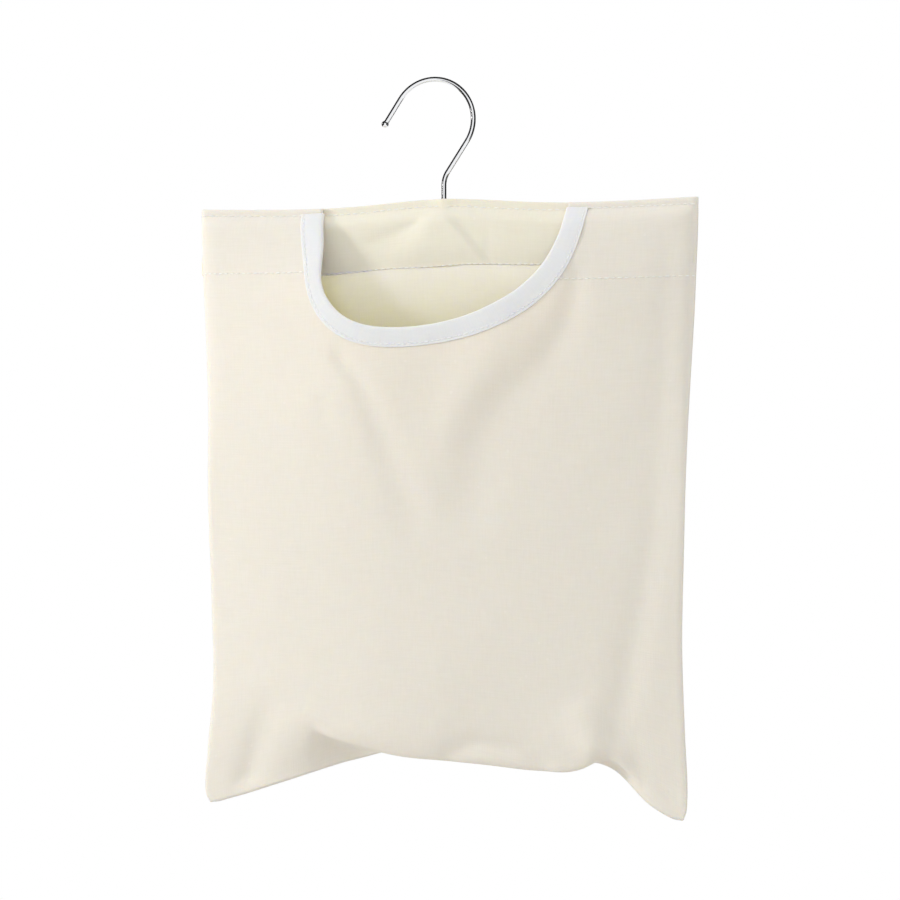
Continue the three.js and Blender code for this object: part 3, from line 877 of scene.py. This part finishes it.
def join_panels():
    """The joined cloth: its points, their places on the flat cloth, and the faces of front and back."""
    seam = (np.abs(U) > 0.9999) | (P > CUT_LENGTH - 0.01)
    free = ~seam
    back_index = np.arange(U.size).reshape(U.shape)
    front_index = back_index.copy()
    front_index[free] = U.size + np.arange(free.sum())
    middle = np.where(seam[..., None], (front_points + back_points) / 2, back_points)
    points = np.concatenate([middle.reshape(-1, 3), front_points[free]])
    place = np.stack([U * HALF_TOP, P], -1)
    places = np.concatenate([place.reshape(-1, 2), place[free]])
    centre_u = (U[:-1, :-1] + U[1:, 1:]) / 2
    centre_s = (P[:-1, :-1] + P[1:, 1:]) / 2
    cut = in_mouth(across(centre_u, centre_s), centre_s)
    front_faces = cells(front_index)[~cut]
    back_faces = cells(back_index)[..., ::-1].reshape(-1, 4)
    # The cut cells' corners that are left stand on the mouth's edge.
    for k in np.intersect1d(cells(front_index)[cut], front_faces):
        u, s = places[k, 0] / HALF_TOP, places[k, 1]
        if s < 0.01:
            continue
        away = MOUTH_OUTLINE - (across(u, s), s)
        x, s = MOUTH_OUTLINE[np.argmin(np.hypot(*away.T))]
        u = share_of_side(x, s)
        places[k] = u * HALF_TOP, s
        points[k] = on_front(u, s)
    return points, places, front_faces, back_faces


cloth_points, cloth_places, front_faces, back_faces = join_panels()

SETTLE_FRAMES = 24
# Stiff light canvas, which moves little while it settles
CANVAS_CLOTH = dict(
    quality=6, mass=0.05, tension_stiffness=60, compression_stiffness=60, shear_stiffness=20,
    bending_stiffness=6, tension_damping=10, compression_damping=10, shear_damping=10, bending_damping=2,
    air_damping=2, use_pressure=True, uniform_pressure_force=0.4)


def picked(faces):
    """The points of the cloth that faces stand on, and the faces numbered among these."""
    used = np.unique(faces)
    order = np.full(len(cloth_points), -1)
    order[used] = np.arange(len(used))
    return used, order[faces]


def weighted(made, name, points, shares):
    """A group of points, each with its share."""
    group = made.vertex_groups.new(name=name)
    for k in points.tolist():
        group.add([k], float(shares[k]), "REPLACE")
    return group


def settle_cloth():
    """Lets the joined cloth hang a little under its own weight, filled a little from inside."""
    used, faces = picked(np.concatenate([front_faces, back_faces]))
    bag = new_mesh("settling_cloth", cloth_points[used], faces)
    depth = cloth_places[used, 1]
    at_side = np.abs(cloth_places[used, 0]) / HALF_TOP > 0.999
    is_back = used < U.size
    held = np.where(is_back | at_side, depth < HEM + 2, depth < TOPSTITCH + 1)
    # The hem and the tape stiffen the cloth round the mouth.
    stiff = np.where(depth < MOUTH_STIFF, 1 - ease(HEM, MOUTH_STIFF, depth), np.where(at_side, 0.2, 0.0))
    pinned = np.where(held, 1.0, stiff)
    pin = weighted(bag, "sewn to the bar", np.flatnonzero(pinned), pinned)
    fill = weighted(bag, "filled", np.arange(len(depth)), ease(60, 200, depth))
    cloth = bag.modifiers.new("Hang", "CLOTH")
    for title, value in CANVAS_CLOTH.items():
        setattr(cloth.settings, title, value)
    cloth.settings.vertex_group_mass = pin.name
    cloth.settings.vertex_group_pressure = fill.name
    cloth.settings.effector_weights.gravity = 0.12
    cloth.collision_settings.use_collision = False
    cloth.collision_settings.use_self_collision = False
    cloth.point_cache.frame_start = 1
    cloth.point_cache.frame_end = SETTLE_FRAMES
    for step in range(1, SETTLE_FRAMES + 1):
        scene.frame_set(step)
    settle_modifiers(bag)
    settled = cloth_points.copy()
    settled[used] = points_of(bag.data)
    bpy.data.objects.remove(bag)
    scene.frame_set(1)
    return settled


settled_points = settle_cloth()


def stitch_relief(mesh, hem_line, hem_lift):
    """Rows of stitches draw the cloth in, and the hem's doubled cloth stands up to its edge."""
    skin = Skin(mesh)
    x, s = skin.places[:, 0], skin.places[:, 1]
    below = s - hem_line(x)
    lift = hem_lift * (1 - ease(HEM_EDGE, HEM_EDGE + 2.5, below))
    for away in (below, s - TOPSTITCH):
        lift = lift - 0.2 * np.exp(-((away / 1.5) ** 2))
    lift = lift * (1 - np.abs(x / HALF_TOP) ** 40) * ease(0, 2, s)
    moved = skin.points + skin.normals * lift[:, None]
    mesh.vertices.foreach_set("co", in_metres(moved).ravel())
    mesh.update()


def panel(side, faces, hem_line, hem_lift):
    used, faces = picked(faces)
    places = cloth_places[used]
    made = new_mesh(f"canvas_{side}", settled_points[used], faces, (("cloth", places), ("place", places)))
    subdivide(made)
    stitch_relief(made.data, hem_line, hem_lift)
    skin = Skin(made.data)
    made.data.uv_layers.remove(made.data.uv_layers["place"])
    wall = thicken(made, CLOTH)
    wall.material_offset = 1
    keep(made, [canvas, canvas_lit_through], "bag", "canvas", f"{side}_panel")
    return made, skin


front, front_skin = panel("front", front_faces, hem_line_front, hem_lift=0.4)
back, back_skin = panel("back", back_faces, hem_line_back, hem_lift=0.15)


# Facings: the hems turned down inside

def sheet_grid(name, node, points, places, turned, thickness, finish, slot):
    """A piece of cloth from rows of points and of their places on the flat cloth."""
    points, places = np.array(points), np.array(places)
    index = np.arange(points.size // 3).reshape(points.shape[:2])
    faces = cells(index).reshape(-1, 4)
    if turned:
        faces = faces[:, ::-1]
    made = new_mesh(name, points.reshape(-1, 3), faces, (("cloth", places.reshape(-1, 2)),))
    subdivide(made)
    thicken(made, thickness)
    return keep(made, [finish], "bag", slot, node)


# Facings and seam allowances take the inside canvas, whose warmer colour is painted light.
def canvas_sheet(node, points, places, turned=False):
    return sheet_grid(f"canvas_{node}", node, points, places, turned, CLOTH, canvas_painted_warm_inside, "canvas")


def make_back_facing():
    rows = np.concatenate([TOP_ROWS, np.linspace(9, HEM - 0.2, 15), [HEM + BACK_HEM_EDGE]])
    cols = np.unique(np.concatenate([np.linspace(-0.998, 0.998, 121), NEAR_SHANK]))
    u, share = np.meshgrid(cols, rows)
    x = across(u, share)
    s = share * np.where(share > 9, (hem_line_back(x) + BACK_HEM_EDGE) / (HEM + BACK_HEM_EDGE), 1)
    wall = np.maximum(casing(u, s), round_shank(x, s))
    loose = 1 - ease(HEM - 12, HEM, share)
    y = hem_lean(s) - wall - WALL_LAYER * fold_at_top(s) * loose - TENT_RISE * tent(x, s)
    y = y + 1.1 * pressed(x, s, ((-44, 24), (-17, 15)), (0.5, 1), (4, 3))
    y = y + 1.0 * pressed(x, s, ((30, 20), (31, 52)), (0.4, 1), (3, 4)) * loose
    y = y - 0.25 * (1 + soft_noise(x, s, 13, 23)) * ease(4, 12, s) * loose
    y = y + 0.35 * ease(HEM - 4, HEM + BACK_HEM_EDGE, share)
    points = np.stack([x, y, top_edge(x) - s], -1)
    return canvas_sheet("back_facing", points, np.stack([u * HALF_TOP, s], -1))


back_facing = make_back_facing()

FACING_GAP = 0.95        # between the middles of the front and of the facing behind it
FACING_TOP = 8.0         # below this depth the facing's rows follow the hem line


def make_front_facing(side, node):
    """A hem behind the front, from the side seam to the mouth's edge."""
    edge = MOUTH_OUTLINE[:MOUTH_MIDDLE] if side < 0 else MOUTH_OUTLINE[:MOUTH_MIDDLE:-1]
    points, places = [], []
    for share in (0.4, 1.4, 3.0, TOPSTITCH, *np.linspace(FACING_TOP, HEM + HEM_EDGE, 12)):
        edge_x = np.interp(share, edge[:, 1], edge[:, 0])
        row, flat = [], []
        for u in np.linspace(side * 0.995, float(share_of_side(edge_x, share)), 26):
            hem = hem_line_front(across(u, share)) if share > FACING_TOP else HEM
            s = share * (hem + HEM_EDGE) / (HEM + HEM_EDGE)
            point, out = front_skin.at(u, s)
            row.append(point - out * (FACING_GAP * fold_at_top(s)))
            flat.append((u * HALF_TOP, s))
        points.append(row)
        places.append(flat)
    return canvas_sheet(node, points, places, side > 0)


front_facings = [make_front_facing(-1, "front_facing_left"), make_front_facing(1, "front_facing_right")]


# Binding: tape folded over the mouth's edge

BINDING_STATIONS = 160
BINDING_START = 3.6      # the tape's ends are sewn in below the top edge
STITCH_INSET = 2.0       # from the tape's edge to its row of stitches
TAPE_INSIDE = 0.92       # the tape's inner half is narrower than the half that shows, by this share
TAPE_FLAT = 26.0
FACING_ROOM = 1.0        # what the tape goes round within the hem, beside the front
# Across the tape, from its edge to the fold: the share of its width, and the lift there
TAPE_SECTION = ((1.0, 0.0), (0.95, 0.03), (0.87, -0.02), (0.82, -0.08), (0.76, 0.0), (0.6, 0.16), (0.4, 0.22),
                (0.2, 0.2), (0.06, 0.16))


def binding_frame(reach):
    """At a distance along the mouth: the place on its edge and the way into the cloth."""
    step = 0.8
    here = on_mouth(reach)
    (ax, az), (bx, bz) = on_mouth(reach - step), on_mouth(reach + step)
    square = ease(TOPSTITCH + CASING_RISE, HEM + HEM_EDGE, here[1])
    into = np.array([az - bz, square * (bx - ax)])
    return here, into / np.linalg.norm(into)


def on_binding(reach, inwards, lift):
    """A point over the front at a distance into the cloth from the mouth's edge, raised from its middle."""
    here, into = binding_frame(reach)
    x, s = here + into * max(inwards, 0.0)
    s = max(s, 0.2)
    point, out = front_skin.at(share_of_side(x, s), s)
    if inwards < 0:
        x, s = here + into
        near, _ = front_skin.at(share_of_side(x, s), s)
        way = point - near
        point = point - way / np.linalg.norm(way) * inwards
    return point + out * lift


def facing_room(s):
    return FACING_ROOM * (1 - ease(HEM, HEM + 8, s))


def evened(rows):
    """Takes the cloth's small steps out of the tape's run, and leaves its ends."""
    weights = np.exp(-0.5 * (np.arange(-6, 7) / 1.7) ** 2)
    weights /= weights.sum()
    padded = np.concatenate([2 * rows[:1] - rows[6:0:-1], rows, 2 * rows[-1:] - rows[-2:-8:-1]])
    return sum(w * padded[k:k + len(rows)] for k, w in enumerate(weights))


def make_binding():
    lift = CLOTH / 2 + TAPE / 2 + 0.05
    rows, places = [], []
    for reach in np.linspace(BINDING_START, MOUTH_LENGTH - BINDING_START, BINDING_STATIONS):
        s = mouth_s(reach)
        under = facing_room(s)
        over_bar = 0.3 * ease(3, 8, s) * (1 - ease(18, 30, s))
        pucker = 0.14 * soft_noise(reach, 0.0, 5, 31)
        width = tape_width(reach) + 0.3 * soft_noise(reach, 40.0, 26, 37)
        row = [on_binding(reach, d * width, lift + over_bar + rise + pucker * (0.5 < d < 0.9))
               for d, rise in TAPE_SECTION]
        row += [on_binding(reach, -0.5, lift * 0.7), on_binding(reach, -0.7, -under / 2),
                on_binding(reach, -0.5, -lift * 0.7 - under)]
        row += [on_binding(reach, d * width * TAPE_INSIDE, -lift - under - rise)
                for d, rise in TAPE_SECTION[::-1]]
        rows.append(row)
        places.append([(a, reach) for a in np.linspace(0, TAPE_FLAT, len(row))])
    rows = evened(np.array(rows))
    return sheet_grid("mouth_binding_tape", "mouth_binding", rows, places, False, TAPE, tape, "binding_tape")


binding = make_binding()


# Seam allowances inside the bag

ALLOWANCE_STEPS = np.array([9.0, 6.0, 3.0, 1.0, 3.0, 6.0, 9.0])
ALLOWANCE_SIDES = np.array([-1, -1, -1, 0, 1, 1, 1])
ALLOWANCE_FLAT = 3.0 * np.arange(len(ALLOWANCE_STEPS))


def allowance(foot, inside, wave):
    """A row across a seam allowance, which stands from the seam's foot into the bag. Foot and inside are each
    a place on the front and on the back. The two edges of cloth part a little."""
    (front_foot, front_out), (back_foot, back_out) = foot
    (front_in, _), (back_in, _) = inside
    seam = (front_foot + back_foot) / 2
    way = ((front_in + back_in) / 2 - seam) / SEAM_ALLOWANCE - (front_out + back_out) / 2
    way /= np.linalg.norm(way)
    apart = back_in - front_in
    room = np.linalg.norm(apart)
    apart /= room
    row = []
    for aside, side in zip(ALLOWANCE_STEPS, ALLOWANCE_SIDES):
        part = min(0.06 * aside + 0.1, 0.3 * room)
        sway = wave * aside / SEAM_ALLOWANCE * min(1, room / 8)
        row.append(seam + way * aside + apart * (side * part + sway))
    return row


def on_both(u, s):
    return front_skin.at(u, s), back_skin.at(u, s)


def make_side_seam(side, node):
    rows, places = [], []
    for s in np.linspace(2 * HEM, 366, 60):
        wave = 0.8 * soft_noise(s, side * 30.0, 18, 41)
        inside = on_both(side * (1 - SEAM_ALLOWANCE / SEAM_HALF), s)
        rows.append(allowance(on_both(side, s), inside, wave))
        places.append([(flat, s) for flat in ALLOWANCE_FLAT])
    return canvas_sheet(node, rows, places, side < 0)


def make_bottom_seam():
    """The bottom allowance lies against the back, below the belly's pouch."""
    rows, places = [], []
    for u in np.linspace(-0.9, 0.9, 90):
        row = []
        for aside, side in zip(ALLOWANCE_STEPS, ALLOWANCE_SIDES):
            (front_point, _), (point, out) = on_both(u, CUT_LENGTH - 1.35 * aside)
            room = np.linalg.norm(front_point - point)
            row.append(point - out * min((1.5 - 0.5 * side) * min(1, aside / 3), 0.4 * room))
        rows.append(row)
        places.append([(u * HALF_TOP, flat) for flat in ALLOWANCE_FLAT])
    return canvas_sheet("bottom_seam", rows, places)


side_seams = [make_side_seam(-1, "side_seam_left"), make_side_seam(1, "side_seam_right")]
bottom_seam = make_bottom_seam()


# Stitches: one short length of thread repeated along each row

def stitch_tree():
    tree = bpy.data.node_groups.new("Row of stitches", "GeometryNodeTree")
    face = tree.interface
    face.new_socket("Rows", in_out="INPUT", socket_type="NodeSocketGeometry")
    named = {}
    for title, kind in (("Pitch", "Float"), ("Stitch length", "Float"), ("Thread width", "Float"),
                        ("Thread", "Material")):
        named[title] = face.new_socket(title, in_out="INPUT", socket_type=f"NodeSocket{kind}").identifier
    face.new_socket("Stitches", in_out="OUTPUT", socket_type="NodeSocketGeometry")
    given = add(tree, "NodeGroupInput").outputs
    line = add(tree, "GeometryNodeMeshToCurve", {"Mesh": given["Rows"]}).outputs["Curve"]
    spaced = add(tree, "GeometryNodeResampleCurve", {"Curve": line, "Length": given["Pitch"]}, mode="LENGTH")
    way = add(tree, "GeometryNodeInputTangent").outputs["Tangent"]
    turn = add(tree, "FunctionNodeAlignRotationToVector", {"Vector": way}, axis="X").outputs["Rotation"]
    bead = add(tree, "GeometryNodeMeshUVSphere", {"Segments": 8, "Rings": 6, "Radius": 0.5}).outputs["Mesh"]
    width = given["Thread width"]
    size = add(tree, "ShaderNodeCombineXYZ", {"X": given["Stitch length"], "Y": width, "Z": width})
    uneven = add(tree, "FunctionNodeRandomValue", {2: 0.86, 3: 1.1, "Seed": 7}).outputs[1]
    scale = add(tree, "ShaderNodeVectorMath", {0: size.outputs["Vector"], "Scale": uneven}, operation="SCALE")
    placed = add(tree, "GeometryNodeInstanceOnPoints", {
        "Points": spaced.outputs["Curve"], "Instance": bead, "Rotation": turn,
        "Scale": scale.outputs["Vector"]})
    real = add(tree, "GeometryNodeRealizeInstances", {"Geometry": placed.outputs["Instances"]})
    smooth = add(tree, "GeometryNodeSetShadeSmooth", {"Geometry": real.outputs["Geometry"]})
    coloured = add(tree, "GeometryNodeSetMaterial", {
        "Geometry": smooth.outputs["Geometry"], "Material": given["Thread"]})
    add(tree, "NodeGroupOutput", {"Stitches": coloured.outputs["Geometry"]})
    return tree, named


stitches, stitch_inputs = stitch_tree()


def sew(name, rows, thread, pitch, length, width):
    """Rows of stitches along lines of points."""
    mesh = bpy.data.meshes.new(name)
    points, edges = [], []
    for row in rows:
        start = len(points)
        points += in_metres(row).tolist()
        edges += [(k, k + 1) for k in range(start, len(points) - 1)]
    mesh.from_pydata(points, edges, [])
    made = put(name, mesh)
    sewing = made.modifiers.new("Stitches", "NODES")
    sewing.node_group = stitches
    for title, value in (("Pitch", pitch * MM), ("Stitch length", length * MM), ("Thread width", width * MM),
                         ("Thread", thread)):
        sewing[stitch_inputs[title]] = value
    settle_modifiers(made)
    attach(made, "bag")
    return made


def row_on(skin, span, depth, lift):
    """A row of stitch places on a panel, raised from the middle of its cloth. The span is the row's two ends
    and how many places it has."""
    row = []
    for x in np.linspace(*span):
        s = depth(x)
        point, out = skin.at(share_of_side(x, s), s)
        row.append(point + out * lift)
    return row


def row_on_facing(span, depth, lift):
    """The same on the back facing, which is looked at from the front."""
    row = []
    for x in np.linspace(*span):
        before = in_metres((x, -200.0, top_edge(x) - depth(x)))
        hit, normal, _, _ = facing_tree.ray_cast(Vector(before), Vector((0, 1, 0)))
        row.append(in_millimetres(hit) + np.array(normal) * lift)
    return row


def top_row(x):
    return TOPSTITCH + 0.3 * math.sin(x / 23)


def facing_row(x):
    return hem_line_back(x) + BACK_HEM_EDGE / 2


facing_tree = BVHTree.FromObject(back_facing, bpy.context.evaluated_depsgraph_get())
ON_CLOTH = CLOTH / 2 + 0.06
ON_TAPE = CLOTH / 2 + 0.05 + TAPE
ON_TAPE_END = ON_TAPE + 0.2
ON_FACING = 0.06
ON_FACING_EDGE = 0.3

top_stitches = sew("topstitching", [
    row_on(front_skin, (-157, -92, 40), top_row, ON_CLOTH),
    row_on(front_skin, (-91, -80, 8), top_row, ON_TAPE_END),
    row_on(front_skin, (82, 93, 8), top_row, ON_TAPE_END),
    row_on(front_skin, (95, 157, 40), top_row, ON_CLOTH),
    row_on_facing((-75, -4, 40), top_row, ON_FACING),
    row_on_facing((4, 77, 40), top_row, ON_FACING),
    row_on(back_skin, (-157, -4, 80), top_row, ON_CLOTH),
    row_on(back_skin, (4, 157, 80), top_row, ON_CLOTH),
], cream_thread, pitch=4.2, length=3.3, width=0.8)
hem_stitches = sew("hem_stitching", [
    row_on(front_skin, (-157, -86, 40), hem_line_front, ON_CLOTH),
    row_on(front_skin, (74, 157, 40), hem_line_front, ON_CLOTH),
    row_on_facing((-150, 150, 140), facing_row, ON_FACING_EDGE),
    row_on(back_skin, (-156, 156, 140), hem_line_back, ON_CLOTH),
], cream_thread, pitch=4.0, length=3.1, width=0.8)
tape_reaches = np.linspace(2 * BINDING_START, MOUTH_LENGTH - 2 * BINDING_START, BINDING_STATIONS)
binding_stitches = sew("binding_stitching", [
    [on_binding(reach, tape_width(reach) - STITCH_INSET, ON_TAPE) for reach in tape_reaches],
    [on_binding(reach, tape_width(reach) * TAPE_INSIDE - STITCH_INSET, -ON_TAPE - facing_room(mouth_s(reach)))
     for reach in tape_reaches],
], white_thread, pitch=3.5, length=2.7, width=0.7)


# Studio

CAMERA_TURN = math.radians(14)
FLOOR_Z = -0.62
FLOOR_REACH = 8.0
WHITE = (1, 1, 1, 1)


def turned_round(x, y):
    """A place given square to the camera's view."""
    c, s = math.cos(CAMERA_TURN), math.sin(CAMERA_TURN)
    return x * c - y * s, x * s + y * c


def make_camera():
    """The photo's view: level, a little to the right of the bag's middle."""
    aside, away, height = 3.8, 1450.0, -229.9
    lens = bpy.data.cameras.new("camera")
    lens.lens = 92.6
    lens.sensor_width = 36
    lens.clip_start = 0.01
    made = put("camera", lens)
    made.location = [length * MM for length in (*turned_round(aside, -away), height)]
    made.rotation_euler = (HALF_PI, 0, CAMERA_TURN)
    scene.camera = made


def soft_box(name, place, target, size, energy, colour):
    lamp = bpy.data.lights.new(name, "AREA")
    lamp.shape = "SQUARE"
    lamp.size = size
    lamp.energy = energy
    lamp.color = hex_colour(colour)[:3]
    made = put(name, lamp)
    made.location = place
    made.rotation_euler = (Vector(target) - Vector(place)).to_track_quat("-Z", "Y").to_euler()


def seen_directly(tree):
    """1 for what the camera sees, straight or in a mirror, and 0 for the light that falls on the bag."""
    path = add(tree, "ShaderNodeLightPath").outputs
    mirrored = maths(tree, "MAXIMUM", path["Is Glossy Ray"], path["Is Transmission Ray"])
    return maths(tree, "MAXIMUM", path["Is Camera Ray"], mirrored)


def make_world():
    world = bpy.data.worlds.new("white studio")
    scene.world = world
    world.use_nodes = True
    tree = world.node_tree
    tree.nodes.clear()
    room = add(tree, "ShaderNodeBackground", {"Color": hex_colour("#fffefd"), "Strength": 0.94})
    white = add(tree, "ShaderNodeBackground", {"Color": WHITE, "Strength": 1.0})
    both = add(tree, "ShaderNodeMixShader", {
        0: seen_directly(tree), 1: room.outputs["Background"], 2: white.outputs["Background"]})
    add(tree, "ShaderNodeOutputWorld", {"Surface": both.outputs["Shader"]})


def stage_card(name, corners, finish):
    """A flat card of the studio."""
    mesh = bpy.data.meshes.new(name)
    mesh.from_pydata(corners, [], [(0, 1, 2, 3)])
    mesh.materials.append(finish)
    made = put(name, mesh)
    return made


def make_floor():
    """A pale floor below the bag that takes its shadow and runs out to white."""
    paint, tree, shader = new_material("white_floor_paint")
    feed(tree, shader, {"Base Color": hex_colour("#dddbd7"), "Roughness": 0.9})
    flat = add(tree, "ShaderNodeVectorMath", {0: object_place(tree), 1: (1, 1, 0)}, operation="MULTIPLY")
    away = add(tree, "ShaderNodeVectorMath", {0: flat.outputs["Vector"]}, operation="LENGTH")
    far = add(tree, "ShaderNodeMapRange", {
        "Value": away.outputs["Value"], "From Min": 0.15, "From Max": 0.5}, interpolation_type="SMOOTHSTEP")
    share = maths(tree, "MULTIPLY", far.outputs["Result"], seen_directly(tree))
    white = add(tree, "ShaderNodeEmission", {"Color": WHITE, "Strength": 1.0})
    both = add(tree, "ShaderNodeMixShader", {
        0: share, 1: shader.outputs["BSDF"], 2: white.outputs["Emission"]})
    out = [n for n in tree.nodes if n.type == "OUTPUT_MATERIAL"][0]
    feed(tree, out, {"Surface": both.outputs["Shader"]})
    square = ((-1, -1), (1, -1), (1, 1), (-1, 1))
    stage_card("floor", [(x * FLOOR_REACH, y * FLOOR_REACH, FLOOR_Z) for x, y in square], paint)


def make_flags():
    """Dark cards round the hook that only its chrome sees, as in a product studio."""
    dark, tree, shader = new_material("black_card")
    feed(tree, shader, {"Base Color": hex_colour("#1c1d1f"), "Roughness": 0.9})
    near, far, reach = -1.4, 1.5, 0.9
    ends = {"left": ((-1, -1), (-1, 1)), "right": ((1, -1), (1, 1)),
            "above": ((-1, 1), (1, 1)), "below": ((-1, -1), (1, -1))}
    for name, pair in ends.items():
        corners = [(*turned_round(x * reach, y), z * reach)
                   for y, side in ((near, pair), (far, pair[::-1])) for x, z in side]
        made = stage_card(f"flag_{name}", corners, dark)
        for rays in ("camera", "diffuse", "shadow", "transmission"):
            setattr(made, f"visible_{rays}", False)


make_camera()
make_world()
make_floor()
make_flags()
soft_box("key", (-1.43, -0.79, 0.13), (0, 0, -0.25), size=0.26, energy=8.6, colour="#fffdf9")
scene.view_settings.view_transform = "Standard"
